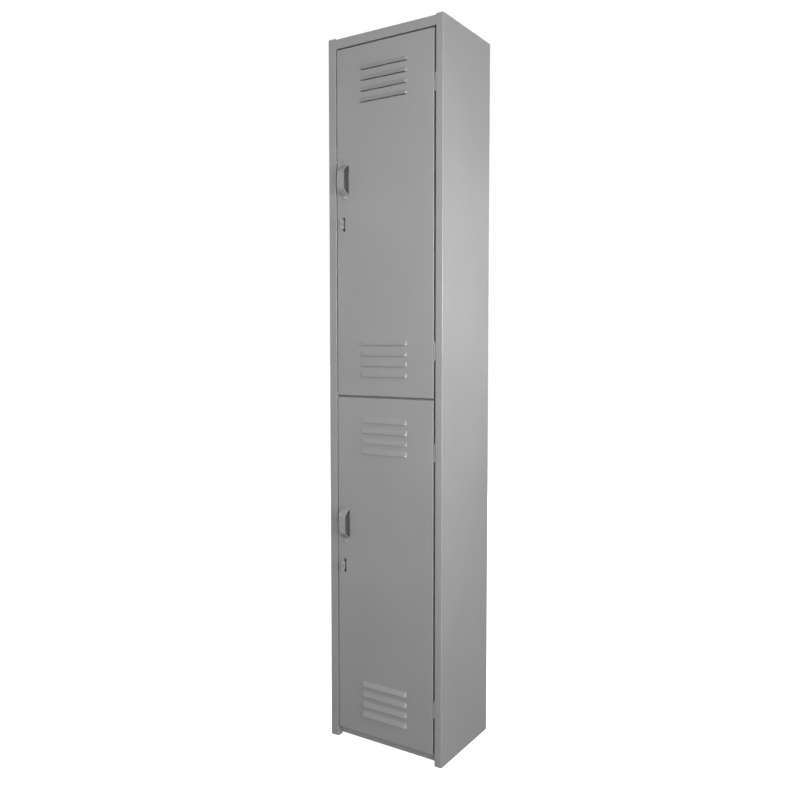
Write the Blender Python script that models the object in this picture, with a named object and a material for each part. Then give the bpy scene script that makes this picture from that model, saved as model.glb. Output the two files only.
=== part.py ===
"""Two-tier sheet-steel locker: a carcass, two hinged pan doors, cup handles and padlock tabs."""

import math

import bmesh
import bpy
from mathutils import Vector

# Overall size of the cabinet
WIDTH = 0.335
DEPTH = 0.245
HEIGHT = 1.800

# Sheet steel
SHEET = 0.0012
BEND = 0.0022
GAP = 0.0003

# Front frame
LOCK_JAMB = 0.024
HINGE_JAMB = 0.020
LIP_DEPTH = 0.0165
STOP_WIDTH = 0.012
REAR_FLANGE = 0.018
ROOF_DROP = 0.002
HEAD_EDGE = 1.7738

# Shelf and base
SHELF_TOP = 0.909
SHELF_HEIGHT = 0.022
BASE_TOP = 0.0445
BASE_HEIGHT = 0.040
BACK_FOOT = 0.005

# Doors
DOOR_DEPTH = 0.0148
DOOR_BEND = 0.0018
LOCK_GAP = 0.002
HINGE_GAP = 0.0046
DOOR_HEIGHT = 0.870
DOOR_TOPS = {"upper": 1.7704, "lower": 0.8960}

# Louvres: each group is placed by its lowest slit
LOUVRE_COUNT = 4
LOUVRE_PITCH = 0.0263
LOUVRES_BELOW_TOP = 0.1412
LOUVRES_ABOVE_BOTTOM = 0.0490
LOUVRE_LENGTH = 0.135
LOUVRE_HEIGHT = 0.0145
LOUVRE_REACH = 0.006
LOUVRE_END = 0.007
LOUVRE_ROWS = 4

# Padlock tab and its slot
TAB_BELOW_TOP = 0.4368
TAB_SHEET = 0.0015
TAB_HEIGHT = 0.022
TAB_REACH = 0.0140
TAB_HOLE_OUT = 0.0082
TAB_HOLE_RADIUS = 0.0040
TAB_FROM_EDGE = 0.0460
SLOT_WIDTH = 0.0070
SLOT_HEIGHT = 0.034
SLOT_MARGIN = 0.0010

# Cup handle
HANDLE_BELOW_TOP = 0.3265
HANDLE_FROM_EDGE = 0.0620
HANDLE_REACH = 0.0210
HANDLE_HALF = 0.0375
HANDLE_FLAT_HALF = 0.0235
HANDLE_CORNER = 0.0120
HANDLE_STRAIGHT = 0.0170
HANDLE_LENGTH = 0.0250
EAR_LENGTH = 0.0170
RIVET_OUT = 0.0460
RIVET_IN = 0.0100
RIVET_RADIUS = 0.0016
RIVET_HEAD_RADIUS = 0.0033
RIVET_HEAD_HEIGHT = 0.0013
RIVET_TAIL_RADIUS = 0.0026
RIVET_TAIL_HEIGHT = 0.0010
FINGER_WIDTH = 0.0190
FINGER_HALF = 0.0340
FINGER_DEPTH = 0.0060
FINGER_MARGIN = 0.0030

# Hinges
BARREL_RADIUS = 0.0020
LEAF_SHEET = 0.0010
LEAF_DEPTH = 0.0125
HINGE_LENGTH = 0.041
KNUCKLE_GAP = 0.0003
PIN_RADIUS = 0.0009
PIN_HEAD_RADIUS = 0.0018
PIN_HEAD_HEIGHT = 0.0008
HINGE_BELOW_TOP = 0.126
HINGE_ABOVE_BOTTOM = 0.114

# Coat hooks
HOOK_WIDTH = 0.014
HOOK_SHEET = 0.0020
HOOK_BASE = 0.030
HOOK_DROP = 0.036
HOOK_THROAT = 0.020
HOOK_TIP = 0.014
HOOK_FROM_BACK = 0.090

# The handles stand out in front, and the origin is centred below the whole object.
Y_FRONT = -(DEPTH + HANDLE_REACH) / 2 + HANDLE_REACH
Y_BACK = Y_FRONT + DEPTH
X_LEFT = -WIDTH / 2
X_RIGHT = WIDTH / 2
X_LOCK_LIP = X_LEFT + LOCK_JAMB
X_HINGE_LIP = X_RIGHT - HINGE_JAMB
DOOR_LEFT = X_LOCK_LIP + LOCK_GAP
DOOR_RIGHT = X_HINGE_LIP - HINGE_GAP
ROOF_TOP = HEIGHT - ROOF_DROP
BACK_FRONT_FACE = Y_BACK - 3 * SHEET - 2 * GAP
INSIDE_FRONT = Y_FRONT + LIP_DEPTH + GAP
INSIDE_BACK = BACK_FRONT_FACE - GAP
INSIDE_HALF_WIDTH = WIDTH / 2 - SHEET - 2 * GAP
HINGE_X = X_HINGE_LIP - HINGE_GAP / 2
HINGE_Y = Y_FRONT + BARREL_RADIUS
TAB_X = X_LEFT + TAB_FROM_EDGE
HANDLE_X = X_LEFT + HANDLE_FROM_EDGE


def clear_scene():
    for obj in list(bpy.data.objects):
        bpy.data.objects.remove(obj, do_unlink=True)


def steel(name, grey, roughness, metallic):
    material = bpy.data.materials.new(name)
    material.use_nodes = True
    shader = material.node_tree.nodes["Principled BSDF"]
    shader.inputs["Base Color"].default_value = (grey[0], grey[1], grey[2], 1.0)
    shader.inputs["Roughness"].default_value = roughness
    shader.inputs["Metallic"].default_value = metallic
    return material


def paint_material(name):
    return steel(name + "_paint", (0.29, 0.295, 0.29), 0.45, 0.0)


def zinc_material(name):
    return steel(name + "_zinc", (0.62, 0.62, 0.60), 0.35, 1.0)


def object_from(name, verts, faces, material, smooth=False):
    """A mesh object whose faces all point outwards."""
    work = bmesh.new()
    made = [work.verts.new(v) for v in verts]
    for face in faces:
        work.faces.new([made[i] for i in face])
    bmesh.ops.recalc_face_normals(work, faces=work.faces)
    mesh = bpy.data.meshes.new(name)
    work.to_mesh(mesh)
    work.free()
    mesh.materials.append(material)
    obj = bpy.data.objects.new(name, mesh)
    bpy.context.scene.collection.objects.link(obj)
    if smooth:
        mesh.shade_smooth()
    return obj


def move_origin(obj, point):
    """Puts the object's origin on a point, leaving its shape where it is."""
    offset = Vector(point)
    for vertex in obj.data.vertices:
        vertex.co -= offset
    obj.location = offset


def rounded_path(corners, radius, steps):
    """The corners joined by straight runs, each inner corner turned into an arc."""
    path = [Vector(corners[0])]
    for before, corner, after in zip(corners, corners[1:], corners[2:]):
        here = Vector(corner)
        back = (Vector(before) - here).normalized()
        on = (Vector(after) - here).normalized()
        half = back.angle(on) / 2
        reach = radius / math.tan(half)
        centre = here + (back + on).normalized() * (radius / math.sin(half))
        start = here + back * reach - centre
        turn = math.pi - 2 * half
        side = 1 if back.x * on.y - back.y * on.x < 0 else -1
        for step in range(steps + 1):
            angle = side * turn * step / steps
            c, s = math.cos(angle), math.sin(angle)
            path.append(centre + Vector((c * start.x - s * start.y, s * start.x + c * start.y)))
    path.append(Vector(corners[-1]))
    return path


def ribbon_sides(path, thickness):
    """Two parallel lines, half a thickness to either side of the path."""
    left, right = [], []
    for index, point in enumerate(path):
        normals = []
        for a, b in ((index - 1, index), (index, index + 1)):
            if a >= 0 and b < len(path):
                run = (path[b] - path[a]).normalized()
                normals.append(Vector((-run.y, run.x)))
        mean = sum(normals, Vector((0, 0))).normalized()
        reach = thickness / 2 / mean.dot(normals[0])
        left.append(point + mean * reach)
        right.append(point - mean * reach)
    return left, right


def folded_sheet(name, path, thickness, place, low, high, material):
    """A sheet folded along a 2-D path and drawn out straight; place maps (u, v, w) to X, Y, Z."""
    left, right = ribbon_sides(path, thickness)
    verts, faces = [], []
    for a, b in zip(left, right):
        verts += [place(a.x, a.y, low), place(b.x, b.y, low), place(b.x, b.y, high), place(a.x, a.y, high)]
    for index in range(len(path) - 1):
        here, there = 4 * index, 4 * index + 4
        for side in range(4):
            over = (side + 1) % 4
            faces.append((here + side, there + side, there + over, here + over))
    last = 4 * (len(path) - 1)
    faces.append((0, 1, 2, 3))
    faces.append((last + 3, last + 2, last + 1, last))
    return object_from(name, verts, faces, material)


def along_z(u, v, w):
    return (u, v, w)


def along_x(u, v, w):
    return (w, u, v)


def box_cutter(name, low, high):
    verts = [(x, y, z) for x in (low[0], high[0]) for y in (low[1], high[1]) for z in (low[2], high[2])]
    faces = [(0, 1, 3, 2), (4, 6, 7, 5), (0, 4, 5, 1), (2, 3, 7, 6), (0, 2, 6, 4), (1, 5, 7, 3)]
    return as_cutter(object_from(name, verts, faces, bpy.data.materials[0]))


def round_cutter(name, centre, radius, axis, low, high, sides=16):
    """A cylinder along X or Y, from low to high on that axis."""
    verts = []
    for end in (low, high):
        for step in range(sides):
            angle = 2 * math.pi * (step + 0.5) / sides
            a, b = radius * math.cos(angle), radius * math.sin(angle)
            verts.append((end, centre[1] + a, centre[2] + b) if axis == "X" else
                         (centre[0] + a, end, centre[2] + b))
    faces = [tuple(range(sides)), tuple(range(2 * sides - 1, sides - 1, -1))]
    for step in range(sides):
        over = (step + 1) % sides
        faces.append((step, sides + step, sides + over, over))
    return as_cutter(object_from(name, verts, faces, bpy.data.materials[0]))


def as_cutter(obj):
    obj.hide_render = True
    obj.display_type = "WIRE"
    return obj


def cut(obj, cutter):
    """Takes the cutter's space out of the object."""
    modifier = obj.modifiers.new(cutter.name, "BOOLEAN")
    modifier.operation = "DIFFERENCE"
    modifier.solver = "EXACT"
    modifier.object = cutter


def side_panel(name, side, jamb):
    """Side wall with a front jamb of flange, lip and door stop, and a rear flange; side is -1 or +1."""
    edge = WIDTH / 2 - SHEET / 2
    lip = WIDTH / 2 - jamb + SHEET / 2
    front = Y_FRONT + SHEET / 2
    stop = Y_FRONT + LIP_DEPTH - SHEET / 2
    back = Y_BACK - SHEET / 2
    corners = [
        (side * (lip - STOP_WIDTH), stop),
        (side * lip, stop),
        (side * lip, front),
        (side * edge, front),
        (side * edge, back),
        (side * (WIDTH / 2 - REAR_FLANGE), back),
    ]
    path = rounded_path(corners, BEND - SHEET / 2, 3)
    panel = folded_sheet(name, path, SHEET, along_z, 0.0, HEIGHT, paint_material(name))
    far = side * (lip - 2 * STOP_WIDTH)
    near = side * (WIDTH / 2 - jamb - GAP / 2)
    wall = side * (WIDTH / 2 - SHEET - GAP)
    x_stop = sorted((far, near))
    x_roof = sorted((far, wall))
    y_stop = (Y_FRONT + SHEET + GAP, INSIDE_FRONT)
    head_stop = HEAD_EDGE - STOP_WIDTH
    cut(panel, box_cutter(name + "_foot_notch", (x_stop[0], y_stop[0], -0.01),
                          (x_stop[1], y_stop[1], BASE_TOP + GAP)))
    cut(panel, box_cutter(name + "_head_notch", (x_stop[0], y_stop[0], head_stop - GAP),
                          (x_stop[1], y_stop[1], HEIGHT + 0.01)))
    cut(panel, box_cutter(name + "_roof_notch", (x_roof[0], y_stop[0], ROOF_TOP - SHEET - GAP),
                          (x_roof[1], y_stop[1] + GAP, HEIGHT + 0.01)))
    return panel


def top_panel(name):
    """Roof with a front flange, lip and door stop between the jambs, and a rear flange."""
    front = Y_FRONT + SHEET / 2
    stop = Y_FRONT + LIP_DEPTH - SHEET / 2
    lip = HEAD_EDGE + SHEET / 2
    roof = ROOF_TOP - SHEET / 2
    back = Y_BACK - SHEET - GAP - SHEET / 2
    corners = [
        (stop, lip - STOP_WIDTH),
        (stop, lip),
        (front, lip),
        (front, roof),
        (back, roof),
        (back, roof - REAR_FLANGE),
    ]
    path = rounded_path(corners, BEND - SHEET / 2, 3)
    panel = folded_sheet(name, path, SHEET, along_x, -INSIDE_HALF_WIDTH, INSIDE_HALF_WIDTH,
                         paint_material(name))
    ends = {
        "lock": (X_LEFT, X_LOCK_LIP + GAP),
        "hinge": (X_HINGE_LIP - GAP, X_RIGHT),
    }
    for end, (low, high) in ends.items():
        cut(panel, box_cutter(name + "_" + end + "_front_notch", (low, Y_FRONT - 0.01, HEAD_EDGE - 0.05),
                              (high, Y_FRONT + SHEET + GAP, HEIGHT + 0.01)))
        cut(panel, box_cutter(name + "_" + end + "_lip_notch", (low, Y_FRONT - 0.02, HEAD_EDGE - 0.06),
                              (high, INSIDE_FRONT + 0.01, ROOF_TOP - SHEET - 2 * GAP)))
    return panel


def flat_panel(name, low, high, material):
    """A plain rectangle of sheet with its long edges broken."""
    verts = [(x, y, z) for x in (low[0], high[0]) for y in (low[1], high[1]) for z in (low[2], high[2])]
    faces = [(0, 1, 3, 2), (4, 6, 7, 5), (0, 4, 5, 1), (2, 3, 7, 6), (0, 2, 6, 4), (1, 5, 7, 3)]
    return object_from(name, verts, faces, material)


def back_panel(name):
    return flat_panel(name, (-INSIDE_HALF_WIDTH, BACK_FRONT_FACE, BACK_FOOT),
                      (INSIDE_HALF_WIDTH, BACK_FRONT_FACE + SHEET, ROOF_TOP - SHEET - BEND),
                      paint_material(name))


def pan(lines_u, lines_v, depth, height_at, slit_rows):
    """Verts and faces of a sheet pan, in (u, v, d) with d into the pan.

    height_at gives how far the plate is pressed out at a crossing of the lines. A slit row is
    pressed out on its upper side only, so it opens there.
    """
    columns, rows = len(lines_u), len(lines_v)
    verts, faces, known = [], [], {}

    def vertex(key, position):
        if key not in known:
            known[key] = len(verts)
            verts.append(position)
        return known[key]

    def plate(skin, i, j, upper):
        base = 0.0 if skin == "outer" else SHEET
        lift = height_at(i, j) if upper or j not in slit_rows else 0.0
        lip = upper and j in slit_rows and lift > 0
        return vertex((skin, i, j, lip), (lines_u[i], lines_v[j], base - lift))

    for i in range(columns - 1):
        for j in range(rows - 1):
            for skin in ("outer", "inner"):
                low = (plate(skin, i, j, True), plate(skin, i + 1, j, True))
                high = (plate(skin, i + 1, j + 1, False), plate(skin, i, j + 1, False))
                faces.append(low + high)
        for j in slit_rows:
            if not height_at(i, j) and not height_at(i + 1, j):
                continue
            for upper in (True, False):
                faces.append(unique(plate("outer", i, j, upper), plate("outer", i + 1, j, upper),
                                    plate("inner", i + 1, j, upper), plate("inner", i, j, upper)))

    rim = [(i, 0) for i in range(columns - 1)] + [(columns - 1, j) for j in range(rows - 1)]
    rim += [(i, rows - 1) for i in range(columns - 1, 0, -1)] + [(0, j) for j in range(rows - 1, 0, -1)]
    arc = [(DOOR_BEND * math.sin(a), DOOR_BEND * (1 - math.cos(a)))
           for a in (math.pi / 6, math.pi / 3, math.pi / 2)]
    inset = DOOR_BEND - SHEET
    rings = arc + [(DOOR_BEND, depth), (inset, depth), (inset, SHEET)]

    def ring_vertex(number, i, j):
        if number == 0:
            return plate("outer", i, j, True)
        if number == len(rings) + 1:
            return plate("inner", i, j, True)
        out, d = rings[number - 1]
        u = lines_u[i] + out * ((i == columns - 1) - (i == 0))
        v = lines_v[j] + out * ((j == rows - 1) - (j == 0))
        return vertex((number, i, j), (u, v, d))

    for number in range(len(rings) + 1):
        for here, there in zip(rim, rim[1:] + rim[:1]):
            faces.append((ring_vertex(number, *here), ring_vertex(number, *there),
                          ring_vertex(number + 1, *there), ring_vertex(number + 1, *here)))
    return verts, faces


def unique(*corners):
    """The corners in order, each kept once."""
    return tuple(dict.fromkeys(corners))


def shelf_pan(name, top, height):
    """A downturned tray between the side walls."""
    half = INSIDE_HALF_WIDTH - DOOR_BEND
    lines_y = (INSIDE_FRONT + DOOR_BEND, INSIDE_BACK - DOOR_BEND)
    verts, faces = pan((-half, half), lines_y, height, lambda i, j: 0.0, ())
    placed = [(u, v, top - d) for u, v, d in verts]
    return object_from(name, placed, faces, paint_material(name))


def louvre_columns():
    """Lines across a louvre, close together where its ends curve back."""
    half = LOUVRE_LENGTH / 2
    middle = (DOOR_LEFT + DOOR_RIGHT) / 2
    steps = [LOUVRE_END * s for s in (0.0, 0.12, 0.42, 1.0)]
    return [middle - half + s for s in steps] + [middle + half - s for s in reversed(steps)]


def door_panel(name, top):
    """Pan door with two groups of louvres, the padlock slot, a finger window and the handle's rivet holes."""
    bottom = top - DOOR_HEIGHT
    groups = (bottom + LOUVRES_ABOVE_BOTTOM, top - LOUVRES_BELOW_TOP)
    inner = louvre_columns()
    lines_x = [DOOR_LEFT + DOOR_BEND] + inner + [DOOR_RIGHT - DOOR_BEND]
    slits = [low + LOUVRE_PITCH * n for low in groups for n in range(LOUVRE_COUNT)]
    lines_z, slit_rows, rise = [bottom + DOOR_BEND], [], {}
    for slit in slits:
        slit_rows.append(len(lines_z))
        for row in range(LOUVRE_ROWS + 1):
            part = row / LOUVRE_ROWS
            rise[len(lines_z)] = (1 + math.cos(math.pi * part)) / 2
            lines_z.append(slit + LOUVRE_HEIGHT * part)
    lines_z.append(top - DOOR_BEND)

    def height_at(i, j):
        if j not in rise or rise[j] < 1e-6:
            return 0.0
        near = min(lines_x[i] - inner[0], inner[-1] - lines_x[i])
        if near < 1e-6:
            return 0.0
        part = min(near / LOUVRE_END, 1.0)
        return LOUVRE_REACH * rise[j] * math.sqrt(1 - (1 - part) ** 2)

    verts, faces = pan(lines_x, lines_z, DOOR_DEPTH, height_at, slit_rows)
    placed = [(u, Y_FRONT + d, v) for u, v, d in verts]
    door = object_from(name, placed, faces, paint_material(name))
    tab_z = top - TAB_BELOW_TOP
    slot_low = TAB_X - TAB_SHEET / 2 - SLOT_MARGIN
    cut(door, box_cutter(name + "_slot", (slot_low, Y_FRONT - 0.01, tab_z - SLOT_HEIGHT / 2),
                         (slot_low + SLOT_WIDTH, Y_FRONT + 0.01, tab_z + SLOT_HEIGHT / 2)))
    grip_z = top - HANDLE_BELOW_TOP
    cut(door, box_cutter(name + "_finger_window",
                         (HANDLE_X - FINGER_WIDTH, Y_FRONT - 0.01, grip_z - FINGER_HALF),
                         (HANDLE_X, Y_FRONT + 0.01, grip_z + FINGER_HALF)))
    for place, x, z in rivet_places(top):
        cut(door, round_cutter(name + "_" + place + "_rivet_hole", (x, 0, z), RIVET_RADIUS + GAP, "Y",
                               Y_FRONT - 0.01, Y_FRONT + 0.01))
    return door


def rivet_places(top):
    """Name, X and height of each handle rivet, for a door whose top edge is given."""
    middle = top - HANDLE_BELOW_TOP
    x = HANDLE_X - RIVET_IN
    return (("top", x, middle + RIVET_OUT), ("bottom", x, middle - RIVET_OUT))


def handle(name, door_top):
    """A pressed cup: closed towards the free edge, open towards the hinges, with an ear at each end."""
    middle = door_top - HANDLE_BELOW_TOP
    seat = GAP + SHEET / 2
    crown = HANDLE_REACH - SHEET / 2
    corners = [(-HANDLE_HALF, seat), (-HANDLE_FLAT_HALF, crown), (HANDLE_FLAT_HALF, crown),
               (HANDLE_HALF, seat)]
    section = rounded_path(corners, HANDLE_CORNER, 4)
    curve = HANDLE_LENGTH - HANDLE_STRAIGHT
    stations = [(0.0, 1.0), (HANDLE_STRAIGHT / 2, 1.0), (HANDLE_STRAIGHT, 1.0)]
    for angle in (25, 50, 70, 90):
        a = math.radians(angle)
        stations.append((HANDLE_STRAIGHT + curve * math.sin(a), math.cos(a)))
    verts, faces = [], []
    for back, scale in stations:
        narrow = 1 - 0.12 * (1 - scale)
        for z, out in section:
            verts.append((HANDLE_X - back, Y_FRONT - seat - (out - seat) * scale, middle + z * narrow))
    count = len(section)
    for s in range(len(stations) - 1):
        for k in range(count - 1):
            here = s * count + k
            faces.append((here, here + 1, here + count + 1, here + count))
    for end, side in ((0, -1), (count - 1, 1)):
        first = len(verts)
        for back in (0.0, HANDLE_STRAIGHT / 2, HANDLE_STRAIGHT):
            verts.append((HANDLE_X - back, Y_FRONT - seat, middle + side * (HANDLE_HALF + EAR_LENGTH)))
        faces.append((end, first, first + 1, end + count))
        faces.append((end + count, first + 1, first + 2, end + 2 * count))
    shell = object_from(name, verts, faces, paint_material(name))
    solid = shell.modifiers.new("Sheet", "SOLIDIFY")
    solid.thickness = SHEET
    solid.offset = 0.0
    for place, x, z in rivet_places(door_top):
        cut(shell, round_cutter(name + "_" + place + "_hole", (x, 0, z), RIVET_RADIUS + GAP, "Y",
                                Y_FRONT - 0.01, Y_FRONT + 0.01))
    return shell


def finger_pan(name, door_top):
    """A shallow tray welded behind the finger window, open to the front."""
    middle = door_top - HANDLE_BELOW_TOP
    reach = FINGER_MARGIN - DOOR_BEND
    lines_x = (HANDLE_X - FINGER_WIDTH - reach, HANDLE_X + reach)
    lines_z = (middle - FINGER_HALF - reach, middle + FINGER_HALF + reach)
    verts, faces = pan(lines_x, lines_z, FINGER_DEPTH, lambda i, j: 0.0, ())
    floor = Y_FRONT + SHEET + GAP + FINGER_DEPTH
    placed = [(u, floor - d, v) for u, v, d in verts]
    return object_from(name, placed, faces, paint_material(name))


def turned(name, profile, base, axis, material, sides=16):
    """A solid turned from (radius, distance) points about a line through base."""
    verts, faces = [], []
    for radius, far in profile:
        for step in range(sides):
            angle = 2 * math.pi * step / sides
            a, b = radius * math.cos(angle), radius * math.sin(angle)
            offset = (a, far, b) if axis == "Y" else (a, b, far)
            verts.append(tuple(p + q for p, q in zip(base, offset)))
    for ring in range(len(profile) - 1):
        for step in range(sides):
            over = (step + 1) % sides
            low = ring * sides
            faces.append((low + step, low + over, low + sides + over, low + sides + step))
    faces.append(tuple(range(sides)))
    last = (len(profile) - 1) * sides
    faces.append(tuple(range(last + sides - 1, last - 1, -1)))
    return object_from(name, verts, faces, material, smooth=False)


def rivet(name, x, z):
    """Dome head outside the handle's ear, shank through ear and door, and a set tail inside."""
    ear_face = -(2 * GAP + SHEET)
    inside = SHEET + GAP
    profile = [
        (RIVET_HEAD_RADIUS * 0.45, ear_face - RIVET_HEAD_HEIGHT),
        (RIVET_HEAD_RADIUS * 0.85, ear_face - RIVET_HEAD_HEIGHT * 0.65),
        (RIVET_HEAD_RADIUS, ear_face),
        (RIVET_RADIUS, ear_face),
        (RIVET_RADIUS, inside),
        (RIVET_TAIL_RADIUS, inside),
        (RIVET_TAIL_RADIUS, inside + RIVET_TAIL_HEIGHT),
    ]
    return turned(name, profile, (x, Y_FRONT, z), "Y", zinc_material(name))


def hasp(name, door_top):
    """Strip welded behind the lock-side stop and bent forward through the door's slot, with a padlock hole."""
    middle = door_top - TAB_BELOW_TOP
    behind = Y_FRONT + LIP_DEPTH + GAP + TAB_SHEET / 2
    corners = [(X_LOCK_LIP + 0.0006, behind), (TAB_X, behind), (TAB_X, Y_FRONT - TAB_REACH)]
    path = rounded_path(corners, 0.002, 3)
    strip = folded_sheet(name, path, TAB_SHEET, along_z, middle - TAB_HEIGHT / 2, middle + TAB_HEIGHT / 2,
                         paint_material(name))
    hole = (0, Y_FRONT - TAB_HOLE_OUT, middle)
    cut(strip, round_cutter(name + "_hole", hole, TAB_HOLE_RADIUS, "X", TAB_X - 0.01, TAB_X + 0.01, 20))
    return strip


def curl(side):
    """Path of a hinge leaf: a flat strip that rolls round the pin; side is -1 (door) or +1 (frame)."""
    radius = BARREL_RADIUS - LEAF_SHEET / 2
    path = [Vector((HINGE_X + side * radius, HINGE_Y + LEAF_DEPTH))]
    for step in range(17):
        angle = -math.radians(300) * step / 16
        path.append(Vector((HINGE_X + side * radius * math.cos(angle), HINGE_Y + radius * math.sin(angle))))
    return path


def leaf(name, side, low, own):
    """A hinge leaf cut back so that only its own knuckles reach the pin."""
    high = low + HINGE_LENGTH
    plate = folded_sheet(name, curl(side), LEAF_SHEET, along_z, low, high, paint_material(name))
    third = HINGE_LENGTH / 3
    for number in range(3):
        if number in own:
            continue
        start = low + number * third - (KNUCKLE_GAP / 2 if number else 0.01)
        end = low + (number + 1) * third + (KNUCKLE_GAP / 2 if number < 2 else 0.01)
        reach = BARREL_RADIUS + GAP
        cut(plate, box_cutter(name + "_relief_" + str(number),
                              (HINGE_X - 2 * reach, HINGE_Y - 2 * reach, start),
                              (HINGE_X + 2 * reach, HINGE_Y + reach, end)))
    return plate


def hinge_pin(name, low):
    top = low + HINGE_LENGTH + GAP
    foot = low - GAP
    profile = [
        (PIN_HEAD_RADIUS, foot - PIN_HEAD_HEIGHT),
        (PIN_HEAD_RADIUS, foot),
        (PIN_RADIUS, foot),
        (PIN_RADIUS, top),
        (PIN_HEAD_RADIUS, top),
        (PIN_HEAD_RADIUS, top + PIN_HEAD_HEIGHT),
    ]
    return turned(name, profile, (HINGE_X, HINGE_Y, 0), "Z", zinc_material(name), 20)


def hinge(name, middle):
    low = middle - HINGE_LENGTH / 2
    leaf(name + "_frame_leaf", 1, low, (0, 2))
    door_leaf = leaf(name + "_door_leaf", -1, low, (1,))
    hinge_pin(name + "_pin", low)
    return door_leaf


def coat_hook(name, ceiling):
    """A bent strip hung under a ceiling: base plate, drop, throat and upturned tip."""
    level = ceiling - GAP - HOOK_SHEET / 2
    back = Y_BACK - HOOK_FROM_BACK
    low = level - HOOK_DROP
    corners = [
        (back + HOOK_BASE, level),
        (back, level),
        (back, low),
        (back - HOOK_THROAT, low),
        (back - HOOK_THROAT, low + HOOK_TIP),
    ]
    path = rounded_path(corners, 0.004, 3)
    return folded_sheet(name, path, HOOK_SHEET, along_x, -HOOK_WIDTH / 2, HOOK_WIDTH / 2, zinc_material(name))


def hung_door(prefix, top):
    """A door with its handle, rivets and hinges, and the padlock tab that passes through it."""
    pieces = [
        door_panel(prefix + "_door_panel", top),
        handle(prefix + "_handle", top),
        finger_pan(prefix + "_finger_pan", top),
    ]
    for place, x, z in rivet_places(top):
        pieces.append(rivet(prefix + "_handle_" + place + "_rivet", x, z))
    pieces.append(hinge(prefix + "_door_top_hinge", top - HINGE_BELOW_TOP))
    pieces.append(hinge(prefix + "_door_bottom_hinge", top - DOOR_HEIGHT + HINGE_ABOVE_BOTTOM))
    hasp(prefix + "_hasp", top)
    for piece in pieces:
        move_origin(piece, (HINGE_X, HINGE_Y, 0))


def main():
    clear_scene()
    side_panel("left_side_panel", -1, LOCK_JAMB)
    side_panel("right_side_panel", 1, HINGE_JAMB)
    top_panel("top_panel")
    back_panel("back_panel")
    shelf_pan("base_panel", BASE_TOP, BASE_HEIGHT)
    shelf_pan("divider_shelf", SHELF_TOP, SHELF_HEIGHT)
    for prefix, top in DOOR_TOPS.items():
        hung_door(prefix, top)
    coat_hook("upper_coat_hook", ROOF_TOP - SHEET)
    coat_hook("lower_coat_hook", SHELF_TOP - SHEET)


main()
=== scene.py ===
"""The looks of the two-tier steel locker: folded sheets, pressed louvres and powder coat.

Lengths are in metres, and angles that are named here are in degrees.
"""

import math

import bmesh
import bpy
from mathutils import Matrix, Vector


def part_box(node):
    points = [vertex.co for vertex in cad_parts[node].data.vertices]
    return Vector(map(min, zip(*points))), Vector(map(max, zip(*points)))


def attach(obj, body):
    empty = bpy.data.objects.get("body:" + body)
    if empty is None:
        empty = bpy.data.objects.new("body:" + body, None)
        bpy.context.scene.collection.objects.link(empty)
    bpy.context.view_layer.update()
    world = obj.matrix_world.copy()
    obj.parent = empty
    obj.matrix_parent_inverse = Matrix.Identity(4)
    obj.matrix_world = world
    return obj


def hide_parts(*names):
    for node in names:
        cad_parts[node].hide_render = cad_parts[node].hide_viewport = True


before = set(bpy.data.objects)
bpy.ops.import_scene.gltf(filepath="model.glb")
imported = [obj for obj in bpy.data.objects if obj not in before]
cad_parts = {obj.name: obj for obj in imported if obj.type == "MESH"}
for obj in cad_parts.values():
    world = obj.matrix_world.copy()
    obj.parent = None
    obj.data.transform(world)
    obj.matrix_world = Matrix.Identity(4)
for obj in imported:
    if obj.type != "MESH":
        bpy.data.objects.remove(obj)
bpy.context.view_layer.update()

# Sheet steel, as in the CAD
SHEET = 0.0012
BEND = 0.0022
DOOR_BEND = 0.0018
GAP = 0.0003

# What the CAD nodes give
LEFT_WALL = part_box("left_side_panel")
RIGHT_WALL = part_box("right_side_panel")
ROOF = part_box("top_panel")
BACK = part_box("back_panel")
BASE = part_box("base_panel")
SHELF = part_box("divider_shelf")
X_LEFT = LEFT_WALL[0].x
X_RIGHT = RIGHT_WALL[1].x
Y_FRONT = LEFT_WALL[0].y
Y_BACK = LEFT_WALL[1].y
HEIGHT = LEFT_WALL[1].z

# Front frame
LOCK_JAMB = 0.024
HINGE_JAMB = 0.020
LIP_DEPTH = 0.0165
STOP_WIDTH = 0.012
REAR_FLANGE = 0.018
HEAD_EDGE = 1.7738
WELD_RECESS = 0.00005
WELD_STEPS = 6
WELD_STEP_ANGLE = 12

# Compartments, and the ends of a door's handle or hinge line
TIERS = ("upper", "lower")
ENDS = ("top", "bottom")

# Louvres: each group is placed by its lowest slit
LOUVRE_COUNT = 4
LOUVRE_PITCH = 0.0263
LOUVRES_BELOW_TOP = 0.1412
LOUVRES_ABOVE_BOTTOM = 0.0490
LOUVRE_LENGTH = 0.135
LOUVRE_HEIGHT = 0.0145
LOUVRE_REACH = 0.006
LOUVRE_END = 0.007
LOUVRE_END_STEPS = (0, 0.03, 0.1, 0.2, 0.33, 0.5, 0.72, 1.0)
LOUVRE_ROWS = 12
LOUVRE_BLEND = 0.34

# Padlock tab and its slot
TAB_SHEET = 0.0015
TAB_HOLE_OUT = 0.0082
TAB_HOLE_RADIUS = 0.0040
TAB_CORNER = 0.0030
TAB_BEND = 0.002
SLOT_WIDTH = 0.0070
SLOT_HEIGHT = 0.034
SLOT_MARGIN = 0.0010

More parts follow.
